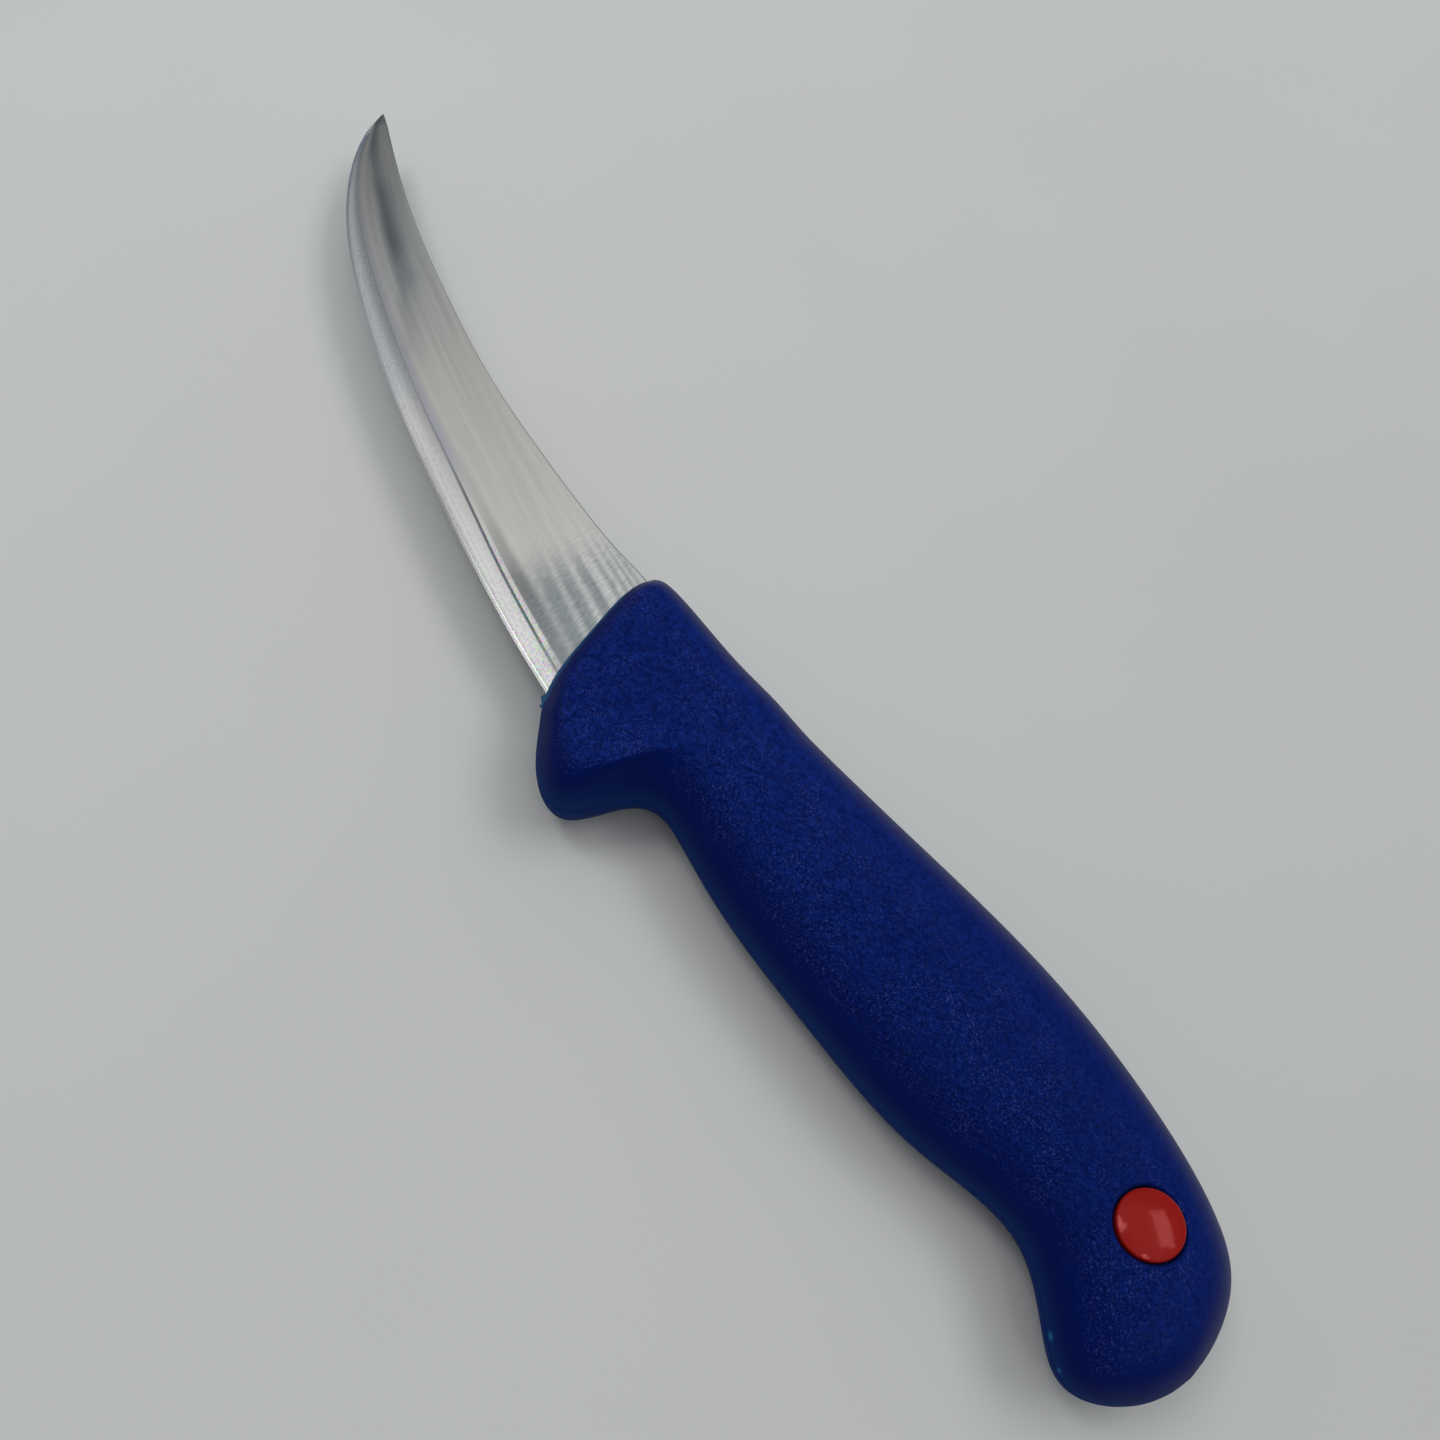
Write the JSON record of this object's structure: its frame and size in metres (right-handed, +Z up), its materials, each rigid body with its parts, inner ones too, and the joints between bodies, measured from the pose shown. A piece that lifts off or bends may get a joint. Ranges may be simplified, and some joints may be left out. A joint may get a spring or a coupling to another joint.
{
  "type": "curved boning knife",
  "caption": "Curved boning knife with a ground steel blade, a moulded blue handle with a finger guard and hooked butt, and a red plug near the butt.",
  "frame": {"origin": "middle of the bounding box at its base, on the surface that the knife lies on", "axes": "+X along the knife towards the tip, +Y towards the cutting edge, +Z up, square to the parting plane of the handle"},
  "size_m": [0.2744, 0.0546, 0.024],
  "materials": {
    "blade": "ground lengthwise",
    "handle": "fine grain",
    "plug": "polished"
  },
  "bodies": {
    "root": {"blade": "blade", "handle": "handle", "handle_plug": "plug"}
  },
  "joints": []
}
